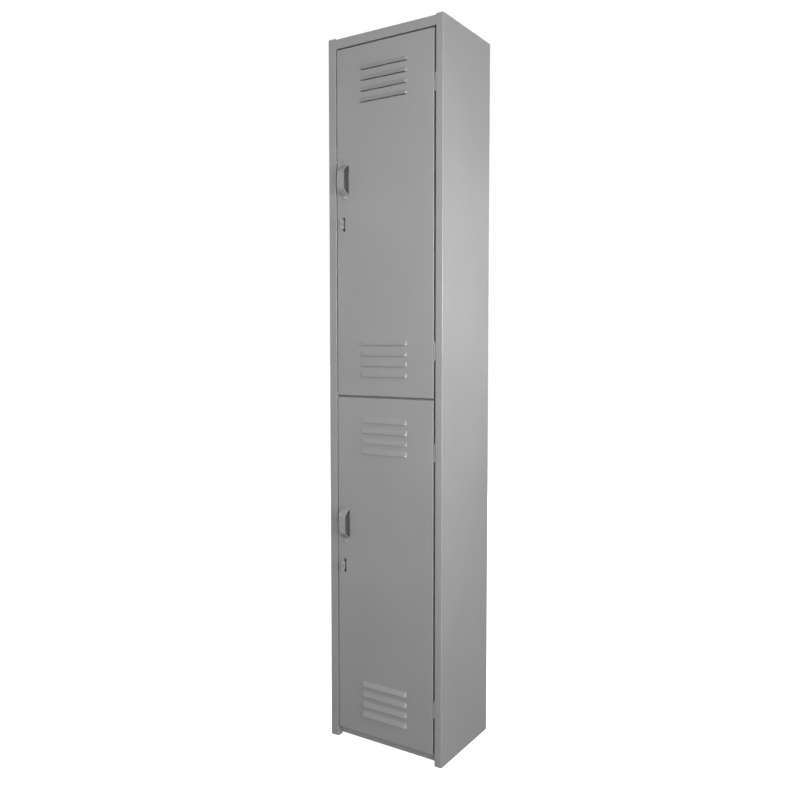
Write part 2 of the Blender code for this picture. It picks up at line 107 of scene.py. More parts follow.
# Cup handle
HANDLE_REACH = 0.0210
HANDLE_HALF = 0.0375
HANDLE_FLAT_HALF = 0.0235
HANDLE_CORNER = 0.0120
HANDLE_STRAIGHT = 0.0170
HANDLE_LENGTH = 0.0250
HANDLE_TAPER = 0.12
EAR_LENGTH = 0.0170
EAR_CORNER = 0.0030
FINGER_WIDTH = 0.0190
FINGER_HALF = 0.0340
RIVET_RADIUS = 0.0016
RIVET_HEAD_RADIUS = 0.0033
RIVET_HEAD_HEIGHT = 0.0013

# Hinges
BARREL_RADIUS = 0.0020
LEAF_SHEET = 0.0010
LEAF_DEPTH = 0.0125
KNUCKLE_GAP = 0.0003
KNUCKLES = 3
ROLL = 300
ROLL_STEPS = 32

# Coat hooks
HOOK_SHEET = 0.0020
HOOK_BASE = 0.030
HOOK_TIP = 0.014
HOOK_BEND = 0.0040

# How finely the shapes are made
BEND_STEPS = 6
FOLD_STEPS = 8
CUP_STEPS = 10
ROUND_SIDES = 32
SHARP = 35
CUP_SHARP = 40
SHEET_EDGE = 0.0002
HOOK_EDGE = 0.0004
FLAT_WEIGHT = 80
TINY = 1e-6

# How far a cutter reaches past the sheet that it cuts
PAST = 0.01

# Powder coat: its grey and roughness vary with noise by these amounts
COAT_GREY = (0.300, 0.304, 0.298)
COAT_IOR = 1.5
SHEET_ROUGHNESS = 0.39
HARDWARE_ROUGHNESS = 0.37
SMOOTHEST = -0.04
ROUGHEST = 0.05
DARKEST = 0.965
LIGHTEST = 1.03
SPECK_SHARE = 0.06
PEEL_STRENGTH = 0.25
PEEL_DEPTH = 0.00012
WAVE_STRENGTH = 0.3
WAVE_DEPTH = 0.0003

# Zinc plate
ZINC_DARK = (0.50, 0.51, 0.50, 1)
ZINC_LIGHT = (0.68, 0.68, 0.66, 1)
ZINC_SMOOTHEST = 0.28
ZINC_ROUGHEST = 0.5

# Noise: scale, detail and roughness
CLOUD = (5.0, 3.0, 0.5)
SPECK = (420.0, 2.0, 0.6)
GLOSS = (23.0, 4.0, 0.55)
PEEL = (650.0, 2.0, 0.5)
WAVE = (4.5, 1.0, 0.4)
NOISE_LOW = 0.3
NOISE_HIGH = 0.7
SEED_SHIFT = (1.7, 0.9, 2.3)
ZINC_SPANGLE = 260.0
ZINC_CLOUD = 90.0

# Studio
WHITE = (1, 1, 1, 1)
FLOOR_GREY = (0.5, 0.5, 0.5, 1)
FLOOR_ROUGHNESS = 0.9
FLOOR_GLOW = 0.95
FLOOR_HALF = 30
FLOOR_DROP = 0.0004
DOME_BELOW = 0.20
DOME_ABOVE = 0.23
DOME_FROM = -0.35
DOME_TO = 0.45

# Softboxes: name, position, target, size, power and the angle the light spreads over
SOFTBOXES = (
    ("key_softbox", (1.0, -0.19, 1.20), (0.10, 0.0, 1.20), (0.3, 0.4), 4.4, 180),
    ("side_softbox", (2.6, -0.8, 1.05), (0.0, 0.0, 1.0), (0.9, 1.3), 40.0, 180),
    ("fill_softbox", (2.2, -2.0, 1.35), (0.0, 0.0, 1.1), (1.1, 1.1), 26.0, 180),
    ("front_softbox", (-0.1, -4.6, 1.75), (0.0, 0.0, 1.25), (0.7, 0.9), 10.2, 61),
    ("rear_softbox", (-0.2, 3.4, 1.5), (0.0, 0.0, 1.0), (1.6, 1.6), 105.0, 180),
    ("left_softbox", (-3.0, 0.5, 1.4), (0.0, 0.0, 1.0), (1.6, 1.6), 60.0, 180),
    ("roof_softbox", (-0.55, 0.65, 3.4), (0.0, 0.0, 1.8), (0.7, 0.7), 24.0, 180),
)

# Camera
LENS = 36.36
SENSOR = 36.0
SHIFT = -0.015
CAMERA_PLACE = (1.1130, -1.7782, 1.0285)
CAMERA_DOWN = 3.033
CAMERA_TURN = 32.574


# Materials

def node(tree, kind, **values):
    """A node with its inputs, or else its own settings, filled in."""
    made = tree.nodes.new(kind)
    for key, value in values.items():
        if key in made.inputs:
            made.inputs[key].default_value = value
        else:
            setattr(made, key, value)
    return made


def shader_of(material):
    """The tree and the main shader of a material that starts to use nodes."""
    material.use_nodes = True
    return material.node_tree, material.node_tree.nodes["Principled BSDF"]


def powder_coat(name, roughness, seed):
    """Powder coat: fine orange peel over slow waves in the sheet, in a faintly uneven grey."""
    material = bpy.data.materials.new(name)
    tree, shader = shader_of(material)
    shader.inputs["IOR"].default_value = COAT_IOR
    shader.inputs["Metallic"].default_value = 0.0
    place = node(tree, "ShaderNodeTexCoord")
    shift = node(tree, "ShaderNodeMapping")
    shift.inputs["Location"].default_value = [seed * step for step in SEED_SHIFT]
    tree.links.new(place.outputs["Object"], shift.inputs["Vector"])

    def noise(look):
        scale, detail, rough = look
        made = node(tree, "ShaderNodeTexNoise", Scale=scale, Detail=detail, Roughness=rough)
        tree.links.new(shift.outputs["Vector"], made.inputs["Vector"])
        return made.outputs["Fac"]

    tone = node(tree, "ShaderNodeValToRGB")
    dark, light = tone.color_ramp.elements
    for element, position, factor in ((dark, NOISE_LOW, DARKEST), (light, NOISE_HIGH, LIGHTEST)):
        element.position = position
        element.color = [channel * factor for channel in COAT_GREY] + [1]
    tree.links.new(noise(CLOUD), tone.inputs["Fac"])
    grain = node(tree, "ShaderNodeMix", data_type="RGBA", blend_type="OVERLAY")
    grain.inputs[0].default_value = SPECK_SHARE
    tree.links.new(tone.outputs["Color"], grain.inputs[6])
    tree.links.new(noise(SPECK), grain.inputs[7])
    tree.links.new(grain.outputs[2], shader.inputs["Base Color"])
    gloss = node(tree, "ShaderNodeMapRange")
    gloss.inputs["From Min"].default_value = NOISE_LOW
    gloss.inputs["From Max"].default_value = NOISE_HIGH
    gloss.inputs["To Min"].default_value = roughness + SMOOTHEST
    gloss.inputs["To Max"].default_value = roughness + ROUGHEST
    tree.links.new(noise(GLOSS), gloss.inputs["Value"])
    tree.links.new(gloss.outputs["Result"], shader.inputs["Roughness"])
    peel = node(tree, "ShaderNodeBump", Strength=PEEL_STRENGTH, Distance=PEEL_DEPTH)
    tree.links.new(noise(PEEL), peel.inputs["Height"])
    wave = node(tree, "ShaderNodeBump", Strength=WAVE_STRENGTH, Distance=WAVE_DEPTH)
    tree.links.new(noise(WAVE), wave.inputs["Height"])
    tree.links.new(wave.outputs["Normal"], peel.inputs["Normal"])
    tree.links.new(peel.outputs["Normal"], shader.inputs["Normal"])
    return material


def zinc_plate(name):
    """Zinc-plated steel: pale, spangled and a little cloudy."""
    material = bpy.data.materials.new(name)
    tree, shader = shader_of(material)
    shader.inputs["Metallic"].default_value = 1.0
    place = node(tree, "ShaderNodeTexCoord")
    cells = node(tree, "ShaderNodeTexVoronoi", Scale=ZINC_SPANGLE)
    tree.links.new(place.outputs["Object"], cells.inputs["Vector"])
    tone = node(tree, "ShaderNodeValToRGB")
    tone.color_ramp.elements[0].color = ZINC_DARK
    tone.color_ramp.elements[1].color = ZINC_LIGHT
    tree.links.new(cells.outputs["Color"], tone.inputs["Fac"])
    tree.links.new(tone.outputs["Color"], shader.inputs["Base Color"])
    cloud = node(tree, "ShaderNodeTexNoise", Scale=ZINC_CLOUD, Detail=3.0)
    tree.links.new(place.outputs["Object"], cloud.inputs["Vector"])
    gloss = node(tree, "ShaderNodeMapRange")
    gloss.inputs["To Min"].default_value = ZINC_SMOOTHEST
    gloss.inputs["To Max"].default_value = ZINC_ROUGHEST
    tree.links.new(cloud.outputs["Fac"], gloss.inputs["Value"])
    tree.links.new(gloss.outputs["Result"], shader.inputs["Roughness"])
    return material


CARCASS = powder_coat("carcass_powder_coat", SHEET_ROUGHNESS, 1.0)
DOOR = powder_coat("door_powder_coat", SHEET_ROUGHNESS, 2.0)
HARDWARE = powder_coat("hardware_powder_coat", HARDWARE_ROUGHNESS, 3.0)
ZINC = zinc_plate("zinc_plate")


# Shapes

def object_from(name, verts, faces, material):
    """A mesh object with faces turned outwards, smooth except over its sharp edges."""
    work = bmesh.new()
    made = [work.verts.new(v) for v in verts]
    for face in faces:
        work.faces.new([made[i] for i in face])
    bmesh.ops.recalc_face_normals(work, faces=work.faces)
    mesh = bpy.data.meshes.new(name)
    work.to_mesh(mesh)
    work.free()
    mesh.materials.append(material)
    mesh.shade_smooth()
    mesh.set_sharp_from_angle(angle=math.radians(SHARP))
    obj = bpy.data.objects.new(name, mesh)
    bpy.context.scene.collection.objects.link(obj)
    return obj


def rounded_path(corners, radius, steps):
    """The corners joined by straight runs, each inner corner turned into an arc."""
    path = [Vector(corners[0])]
    for before, corner, after in zip(corners, corners[1:], corners[2:]):
        here = Vector(corner)
        back = (Vector(before) - here).normalized()
        on = (Vector(after) - here).normalized()
        half = back.angle(on) / 2
        reach = radius / math.tan(half)
        centre = here + (back + on).normalized() * (radius / math.sin(half))
        start = here + back * reach - centre
        turn = math.pi - 2 * half
        side = 1 if back.x * on.y - back.y * on.x < 0 else -1
        for step in range(steps + 1):
            angle = side * turn * step / steps
            c, s = math.cos(angle), math.sin(angle)
            path.append(centre + Vector((c * start.x - s * start.y, s * start.x + c * start.y)))
    path.append(Vector(corners[-1]))
    return path


def ribbon_sides(path, thickness):
    """Two parallel lines, half a thickness to either side of the path."""
    left, right = [], []
    for index, point in enumerate(path):
        normals = []
        for a, b in ((index - 1, index), (index, index + 1)):
            if a >= 0 and b < len(path):
                run = (path[b] - path[a]).normalized()
                normals.append(Vector((-run.y, run.x)))
        mean = sum(normals, Vector((0, 0))).normalized()
        reach = thickness / 2 / mean.dot(normals[0])
        left.append(point + mean * reach)
        right.append(point - mean * reach)
    return left, right


def folded_sheet(name, path, thickness, place, low, high, material):
    """A sheet folded along a 2-D path and drawn out straight; place maps (u, v, w) to X, Y, Z."""
    left, right = ribbon_sides(path, thickness)
    verts, faces = [], []
    for a, b in zip(left, right):
        verts += [place(a.x, a.y, low), place(b.x, b.y, low)]
        verts += [place(b.x, b.y, high), place(a.x, a.y, high)]
    for index in range(len(path) - 1):
        here, there = 4 * index, 4 * index + 4
        for side in range(4):
            over = (side + 1) % 4
            faces.append((here + side, there + side, there + over, here + over))
    last = 4 * (len(path) - 1)
    faces.append((0, 1, 2, 3))
    faces.append((last + 3, last + 2, last + 1, last))
    return object_from(name, verts, faces, material)


def along_z(u, v, w):
    return (u, v, w)


def along_x(u, v, w):
    return (w, u, v)


def block(name, low, high):
    """A plain box between two opposite corners."""
    verts = []
    for x in (low[0], high[0]):
        verts += [(x, y, z) for y in (low[1], high[1]) for z in (low[2], high[2])]
    faces = [(0, 1, 3, 2), (4, 6, 7, 5), (0, 4, 5, 1), (2, 3, 7, 6), (0, 2, 6, 4), (1, 5, 7, 3)]
    return object_from(name, verts, faces, CARCASS)


def prism(name, outline, ends, place, material):
    """A solid with the same outline at both ends; place maps (u, v, w) to X, Y, Z."""
    count = len(outline)
    verts = [place(u, v, w) for w in ends for u, v in outline]
    faces = [tuple(range(count)), tuple(range(2 * count - 1, count - 1, -1))]
    for step in range(count):
        over = (step + 1) % count
        faces.append((step, over, count + over, count + step))
    return object_from(name, verts, faces, material)


def box_cutter(name, low, high):
    return as_cutter(block(name, low, high))


def round_cutter(name, centre_y, centre_z, radius, ends):
    """A cylinder along X."""
    outline = []
    for step in range(ROUND_SIDES):
        angle = 2 * math.pi * (step + 0.5) / ROUND_SIDES
        outline.append((centre_y + radius * math.cos(angle), centre_z + radius * math.sin(angle)))
    return as_cutter(prism(name, outline, ends, along_x, CARCASS))


def as_cutter(obj):
    obj.hide_render = True
    obj.display_type = "WIRE"
    return obj


def cut(obj, cutter):
    """Takes the cutter's space out of the object, for good."""
    modifier = obj.modifiers.new(cutter.name, "BOOLEAN")
    modifier.operation = "DIFFERENCE"
    modifier.solver = "EXACT"
    modifier.object = cutter
    settle(obj)
    bpy.data.objects.remove(cutter, do_unlink=True)


def settle(obj, sharp=SHARP):
    """Turns the object's modifiers into plain mesh and marks its sharp edges again."""
    bpy.context.view_layer.update()
    graph = bpy.context.evaluated_depsgraph_get()
    mesh = bpy.data.meshes.new_from_object(obj.evaluated_get(graph))
    obj.modifiers.clear()
    old = obj.data
    obj.data = mesh
    bpy.data.meshes.remove(old)
    mesh.shade_smooth()
    mesh.set_sharp_from_angle(angle=math.radians(sharp))


def rides(obj, body):
    """Gives the piece its body, and keeps the shading of its flat faces flat."""
    shading = obj.modifiers.new("Flat faces", "WEIGHTED_NORMAL")
    shading.keep_sharp = True
    shading.weight = FLAT_WEIGHT
    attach(obj, body)


def stands_for(obj, cad_node, body):
    """The piece takes a CAD node's place on its body."""
    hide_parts(cad_node)
    rides(obj, body)


# Carcass

def side_wall(name, side, jamb):
    """One sheet: door stop, lip, front flange, side and rear flange, notched for roof and base."""
    edge = X_RIGHT - SHEET / 2
    lip = X_RIGHT - jamb + SHEET / 2
    front = Y_FRONT + SHEET / 2
    stop = Y_FRONT + LIP_DEPTH - SHEET / 2
    back = Y_BACK - SHEET / 2
    corners = [
        (side * (lip - STOP_WIDTH), stop),
        (side * lip, stop),
        (side * lip, front),
        (side * edge, front),
        (side * edge, back),
        (side * (X_RIGHT - REAR_FLANGE), back),
    ]
    path = rounded_path(corners, BEND - SHEET / 2, FOLD_STEPS)
    wall = folded_sheet(name, path, SHEET, along_z, 0.0, HEIGHT, CARCASS)
    far = side * (lip - 2 * STOP_WIDTH)
    near = side * (X_RIGHT - jamb - GAP / 2)
    inner = side * (X_RIGHT - SHEET - GAP)
    shallow = Y_FRONT + SHEET + GAP
    deep = Y_FRONT + LIP_DEPTH + GAP
    foot = BASE[1].z + GAP
    head = HEAD_EDGE - STOP_WIDTH - GAP
    roof = ROOF[1].z - SHEET - GAP
    notches = {
        "_foot_notch": ((far, near), deep, (-PAST, foot)),
        "_head_notch": ((far, near), deep, (head, HEIGHT + PAST)),
        "_roof_notch": ((far, inner), deep + GAP, (roof, HEIGHT + PAST)),
    }
    for notch, (xs, back_y, (low, high)) in notches.items():
        cut(wall, box_cutter(name + notch, (min(xs), shallow, low), (max(xs), back_y, high)))
    return wall


def roof_sheet(name):
    """One sheet: stop, lip, front flange, roof and rear flange, with its front folds cut short."""
    front = Y_FRONT + SHEET / 2
    stop = Y_FRONT + LIP_DEPTH - SHEET / 2
    lip = HEAD_EDGE + SHEET / 2
    roof = ROOF[1].z - SHEET / 2
    back = ROOF[1].y - SHEET / 2
    corners = [
        (stop, lip - STOP_WIDTH),
        (stop, lip),
        (front, lip),
        (front, roof),
        (back, roof),
        (back, roof - REAR_FLANGE),
    ]
    path = rounded_path(corners, BEND - SHEET / 2, FOLD_STEPS)
    sheet = folded_sheet(name, path, SHEET, along_x, ROOF[0].x, ROOF[1].x, CARCASS)
    shallow = Y_FRONT + SHEET + GAP
    deep = Y_FRONT + LIP_DEPTH + PAST
    under_roof = ROOF[1].z - SHEET - 2 * GAP
    ends = {
        "_lock": (X_LEFT, X_LEFT + LOCK_JAMB + GAP),
        "_hinge": (X_RIGHT - HINGE_JAMB - GAP, X_RIGHT),
    }
    for end, (left, right) in ends.items():
        low = (left, Y_FRONT - PAST, HEAD_EDGE - 5 * PAST)
        cut(sheet, box_cutter(name + end + "_front_notch", low, (right, shallow, HEIGHT + PAST)))
        low = (left, Y_FRONT - 2 * PAST, HEAD_EDGE - 6 * PAST)
        cut(sheet, box_cutter(name + end + "_lip_notch", low, (right, deep, under_roof)))
    return sheet


def head_weld(name, side, jamb):
    """A dressed weld that fills the groove between a jamb and the head rail."""
    corner = side * (X_RIGHT - jamb)
    face = Y_FRONT + WELD_RECESS
    outline = [(corner - side * GAP, face), (corner + side * BEND, face)]
    for step in range(1, WELD_STEPS + 1):
        angle = math.radians(WELD_STEP_ANGLE * step)
        x = corner + side * BEND * (1 - math.sin(angle))
        outline.append((x, Y_FRONT + BEND * (1 - math.cos(angle))))
    outline.append((corner - side * GAP, outline[-1][1]))
    return prism(name, outline, (HEAD_EDGE + BEND, ROOF[1].z - BEND), along_z, CARCASS)


def with_broken_edges(obj, width, segments):
    edge = obj.modifiers.new("Edge", "BEVEL")
    edge.width = width
    edge.segments = segments
    settle(obj)
    return obj


def flat_sheet(name, box):
    """A plain rectangle of sheet with its edges broken."""
    return with_broken_edges(block(name, *box), SHEET_EDGE, 2)


def pan(lines_u, lines_v, depth, height_at, slit_rows):
    """Verts and faces of a sheet pan, in (u, v, d) with d into the pan.

    height_at gives how far the plate is pressed out at a crossing of the lines. A slit row is
    pressed out on its upper side only, so it opens there.
    """
    columns, rows = len(lines_u), len(lines_v)
    verts, faces, known = [], [], {}

    def vertex(key, position):
        if key not in known:
            known[key] = len(verts)
            verts.append(position)
        return known[key]

    def plate(skin, i, j, upper):
        base = 0.0 if skin == "outer" else SHEET
        lift = height_at(i, j) if upper or j not in slit_rows else 0.0
        lip = upper and j in slit_rows and lift > 0
        return vertex((skin, i, j, lip), (lines_u[i], lines_v[j], base - lift))

    for i in range(columns - 1):
        for j in range(rows - 1):
            for skin in ("outer", "inner"):
                low = (plate(skin, i, j, True), plate(skin, i + 1, j, True))
                high = (plate(skin, i + 1, j + 1, False), plate(skin, i, j + 1, False))
                faces.append(low + high)
        for j in slit_rows:
            if not height_at(i, j) and not height_at(i + 1, j):
                continue
            for upper in (True, False):
                corners = (plate("outer", i, j, upper), plate("outer", i + 1, j, upper),
                           plate("inner", i + 1, j, upper), plate("inner", i, j, upper))
                faces.append(tuple(dict.fromkeys(corners)))

    rim = [(i, 0) for i in range(columns - 1)]
    rim += [(columns - 1, j) for j in range(rows - 1)]
    rim += [(i, rows - 1) for i in range(columns - 1, 0, -1)]
    rim += [(0, j) for j in range(rows - 1, 0, -1)]
    arc = []
    for step in range(BEND_STEPS):
        angle = math.pi / 2 * (step + 1) / BEND_STEPS
        arc.append((DOOR_BEND * math.sin(angle), DOOR_BEND * (1 - math.cos(angle))))
    inset = DOOR_BEND - SHEET
    rings = arc + [(DOOR_BEND, depth), (inset, depth), (inset, SHEET)]

    def ring_vertex(number, i, j):
        if number == 0:
            return plate("outer", i, j, True)
        if number == len(rings) + 1:
            return plate("inner", i, j, True)
        out, d = rings[number - 1]
        u = lines_u[i] + out * ((i == columns - 1) - (i == 0))
        v = lines_v[j] + out * ((j == rows - 1) - (j == 0))
        return vertex((number, i, j), (u, v, d))

    for number in range(len(rings) + 1):
        for here, there in zip(rim, rim[1:] + rim[:1]):
            faces.append((ring_vertex(number, *here), ring_vertex(number, *there),
                          ring_vertex(number + 1, *there), ring_vertex(number + 1, *here)))
    return verts, faces


def plain_pan(low, high, depth):
    """Verts and faces of a pan with a flat plate, between two opposite corners of its outside."""
    lines_u = (low[0] + DOOR_BEND, high[0] - DOOR_BEND)
    lines_v = (low[1] + DOOR_BEND, high[1] - DOOR_BEND)
    return pan(lines_u, lines_v, depth, lambda i, j: 0.0, ())


def tray(name, box):
    """A downturned tray between the side walls."""
    low, high = box
    verts, faces = plain_pan((low.x, low.y), (high.x, high.y), high.z - low.z)
    return object_from(name, [(u, v, high.z - d) for u, v, d in verts], faces, CARCASS)


# Doors

def hood_rise(part):
    """How far a louvre stands out: full at its slit, then a straight slope and a short blend."""
    steep = 1 / (1 - LOUVRE_BLEND / 2)
    if part < 1 - LOUVRE_BLEND:
        return 1 - steep * part
    return steep * (1 - part) ** 2 / (2 * LOUVRE_BLEND)


def door_skin(name, tier):
    """Pan door with two groups of louvres, the padlock slot and the finger window."""
    low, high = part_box(tier + "_door_panel")
    groups = (low.z + LOUVRES_ABOVE_BOTTOM, high.z - LOUVRES_BELOW_TOP)
    middle = (low.x + high.x) / 2
    half = LOUVRE_LENGTH / 2
    steps = [LOUVRE_END * step for step in LOUVRE_END_STEPS]
    inner = [middle - half + s for s in steps] + [middle + half - s for s in reversed(steps)]
    lines_x = [low.x + DOOR_BEND] + inner + [high.x - DOOR_BEND]
    lines_z, slit_rows, rise = [low.z + DOOR_BEND], [], {}
    for slit in [start + LOUVRE_PITCH * n for start in groups for n in range(LOUVRE_COUNT)]:
        slit_rows.append(len(lines_z))
        for row in range(LOUVRE_ROWS + 1):
            part = row / LOUVRE_ROWS
            rise[len(lines_z)] = hood_rise(part)
            lines_z.append(slit + LOUVRE_HEIGHT * part)
    lines_z.append(high.z - DOOR_BEND)

    def height_at(i, j):
        if j not in rise or rise[j] < TINY:
            return 0.0
        near = min(lines_x[i] - inner[0], inner[-1] - lines_x[i])
        if near < TINY:
            return 0.0
        part = min(near / LOUVRE_END, 1.0)
        return LOUVRE_REACH * rise[j] * math.sqrt(1 - (1 - part) ** 2)

    verts, faces = pan(lines_x, lines_z, high.y - Y_FRONT, height_at, slit_rows)
    door = object_from(name, [(u, Y_FRONT + d, v) for u, v, d in verts], faces, DOOR)
    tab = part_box(tier + "_hasp")
    slot_left = tab[1].x - TAB_SHEET - SLOT_MARGIN
    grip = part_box(tier + "_handle")
    holes = {
        "_slot": (slot_left, slot_left + SLOT_WIDTH, (tab[0].z + tab[1].z) / 2, SLOT_HEIGHT / 2),
        "_window": (grip[1].x - FINGER_WIDTH, grip[1].x, (grip[0].z + grip[1].z) / 2, FINGER_HALF),
    }
    for hole, (left, right, centre, half) in holes.items():
        cut(door, box_cutter(name + hole, (left, Y_FRONT - PAST, centre - half),
                             (right, Y_FRONT + PAST, centre + half)))
    return door


def handle_shell(name, cad_node):
    """A pressed cup, open towards the hinges, with an ear at each end."""
    low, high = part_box(cad_node)
    middle = (low.z + high.z) / 2
    rim = high.x
    seat = GAP + SHEET / 2
    crown = HANDLE_REACH - SHEET / 2
    corners = [
        (-HANDLE_HALF, seat),
        (-HANDLE_FLAT_HALF, crown),
        (HANDLE_FLAT_HALF, crown),
        (HANDLE_HALF, seat),
    ]
    section = rounded_path(corners, HANDLE_CORNER, CUP_STEPS)
    curve = HANDLE_LENGTH - HANDLE_STRAIGHT
    near = [EAR_CORNER * (1 - math.cos(math.radians(angle))) for angle in range(0, 91, 15)]
    straight = near + [HANDLE_STRAIGHT - back for back in reversed(near)]
    stations = [(back, 1.0) for back in straight]
    for angle in range(10, 91, 10):
        a = math.radians(angle)
        stations.append((HANDLE_STRAIGHT + curve * math.sin(a), math.cos(a)))
    verts, faces = [], []
    for back, scale in stations:
        narrow = 1 - HANDLE_TAPER * (1 - scale)
        for z, out in section:
            verts.append((rim - back, Y_FRONT - seat - (out - seat) * scale, middle + z * narrow))
    count = len(section)
    for s in range(len(stations) - 1):
        for k in range(count - 1):
            here = s * count + k
            faces.append((here, here + 1, here + count + 1, here + count))
    for end, side in ((0, -1), (count - 1, 1)):
        first = len(verts)
        for back in straight:
            edge = min(back, HANDLE_STRAIGHT - back, EAR_CORNER)
            short = EAR_CORNER - math.sqrt(EAR_CORNER ** 2 - (EAR_CORNER - edge) ** 2)
            z = middle + side * (HANDLE_HALF + EAR_LENGTH - short)
            verts.append((rim - back, Y_FRONT - seat, z))
        for s in range(len(straight) - 1):
            faces.append((end + s * count, first + s, first + s + 1, end + (s + 1) * count))
    shell = object_from(name, verts, faces, HARDWARE)
    solid = shell.modifiers.new("Sheet", "SOLIDIFY")
    solid.thickness = SHEET
    solid.offset = 0.0
    settle(shell, CUP_SHARP)
    return shell


def finger_pan(name, cad_node):
    """A shallow tray behind the finger window, open to the front."""
    low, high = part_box(cad_node)
    verts, faces = plain_pan((low.x, low.z), (high.x, high.z), high.y - low.y)
    return object_from(name, [(u, high.y - d, v) for u, v, d in verts], faces, DOOR)


def turned(name, profile, base, material):
    """A solid turned from (radius, distance) points about a line along Y through base."""
    sides = ROUND_SIDES
    verts, faces = [], []
    for radius, far in profile:
        for step in range(sides):
            angle = 2 * math.pi * step / sides
            x = base[0] + radius * math.cos(angle)
            z = base[2] + radius * math.sin(angle)
            verts.append((x, base[1] + far, z))
    for ring in range(len(profile) - 1):
        for step in range(sides):
            over = (step + 1) % sides
            low = ring * sides
            faces.append((low + step, low + over, low + sides + over, low + sides + step))
    faces.append(tuple(range(sides)))
    last = (len(profile) - 1) * sides
    faces.append(tuple(range(last + sides - 1, last - 1, -1)))
    return object_from(name, verts, faces, material)


def rivet_head(name, cad_node):
    """A domed head on a short shank."""
    low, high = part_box(cad_node)
    centre = (low + high) / 2
    face = low.y + RIVET_HEAD_HEIGHT
    profile = []
    for angle in range(10, 91, 10):
        a = math.radians(angle)
        profile.append((RIVET_HEAD_RADIUS * math.sin(a), -RIVET_HEAD_HEIGHT * math.cos(a)))
    profile += [(RIVET_RADIUS, 0.0), (RIVET_RADIUS, high.y - face)]
    return turned(name, profile, (centre.x, face, centre.z), HARDWARE)


# Frame hardware

def hasp_strip(name, cad_node):
    """A bent strip whose front end is drilled for the shackle and rounded at its corners."""
    low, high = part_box(cad_node)
    behind = high.y - TAB_SHEET / 2
    x_tab = high.x - TAB_SHEET / 2
    middle = (low.z + high.z) / 2
    corners = [(low.x, behind), (x_tab, behind), (x_tab, low.y)]
    path = rounded_path(corners, TAB_BEND, FOLD_STEPS)
    strip = folded_sheet(name, path, TAB_SHEET, along_z, low.z, high.z, HARDWARE)
    across = (x_tab - PAST, x_tab + PAST)
    hole_y = Y_FRONT - TAB_HOLE_OUT
    cut(strip, round_cutter(name + "_hole", hole_y, middle, TAB_HOLE_RADIUS, across))
    clear = PAST / 10
    for side, edge in ((1, high.z), (-1, low.z)):
        outline = []
        for angle in range(0, 91, 15):
            a = math.radians(angle)
            out = low.y + TAB_CORNER * (1 - math.cos(a))
            outline.append((out, edge - side * TAB_CORNER * (1 - math.sin(a))))
        outline.insert(0, (low.y - clear, outline[0][1]))
        outline.insert(0, (low.y - clear, edge + side * clear))
        outline.append((outline[-1][0], edge + side * clear))
        cut(strip, as_cutter(prism(name + "_corner", outline, across, along_x, HARDWARE)))
    return strip


def hook_strip(name, cad_node):
    """A strip bent into a hook: base, drop, throat and upturned tip, with its edges broken."""
    low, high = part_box(cad_node)
    half = HOOK_SHEET / 2
    back = high.y - HOOK_BASE
    corners = [
        (high.y, high.z - half),
        (back, high.z - half),
        (back, low.z + half),
        (low.y + half, low.z + half),
        (low.y + half, low.z + half + HOOK_TIP),
    ]
    path = rounded_path(corners, HOOK_BEND, FOLD_STEPS)
    strip = folded_sheet(name, path, HOOK_SHEET, along_x, low.x, high.x, ZINC)
    return with_broken_edges(strip, HOOK_EDGE, 3)


def hinge_leaf(name, cad_node, side, own):
    """A hinge leaf rolled round the pin and cut back between its own knuckles."""
    low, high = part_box(cad_node)
    centre_x = low.x + BARREL_RADIUS if side > 0 else high.x - BARREL_RADIUS
    centre_y = low.y + BARREL_RADIUS
    radius = BARREL_RADIUS - LEAF_SHEET / 2
    path = [Vector((centre_x + side * radius, centre_y + LEAF_DEPTH))]
    for step in range(ROLL_STEPS + 1):
        angle = -math.radians(ROLL) * step / ROLL_STEPS
        x = centre_x + side * radius * math.cos(angle)
        path.append(Vector((x, centre_y + radius * math.sin(angle))))
    plate = folded_sheet(name, path, LEAF_SHEET, along_z, low.z, high.z, HARDWARE)
    share = (high.z - low.z) / KNUCKLES
    reach = BARREL_RADIUS + GAP
    for number in range(KNUCKLES):
        if number in own:
            continue
        below = KNUCKLE_GAP / 2 if number else PAST
        above = KNUCKLE_GAP / 2 if number < KNUCKLES - 1 else PAST
        near = (centre_x - 2 * reach, centre_y - 2 * reach, low.z + number * share - below)
        far = (centre_x + 2 * reach, centre_y + reach, low.z + (number + 1) * share + above)
        cut(plate, box_cutter(name + "_relief_" + str(number), near, far))
    return plate


# Assembly

def build_carcass():
    sheets = {
        "left_side_panel": side_wall("left_side_wall", -1, LOCK_JAMB),
        "right_side_panel": side_wall("right_side_wall", 1, HINGE_JAMB),
        "top_panel": roof_sheet("roof_sheet"),
        "back_panel": flat_sheet("back_sheet", BACK),
        "base_panel": tray("base_tray", BASE),
        "divider_shelf": tray("shelf_tray", SHELF),
    }
    for cad_node, sheet in sheets.items():
        stands_for(sheet, cad_node, "cabinet")
    rides(head_weld("left_head_weld", -1, LOCK_JAMB), "cabinet")
    rides(head_weld("right_head_weld", 1, HINGE_JAMB), "cabinet")
    for tier in TIERS:
        tab = hasp_strip(tier + "_padlock_tab", tier + "_hasp")
        stands_for(tab, tier + "_hasp", "cabinet")
        hook = hook_strip(tier + "_hook_strip", tier + "_coat_hook")
        stands_for(hook, tier + "_coat_hook", "cabinet")


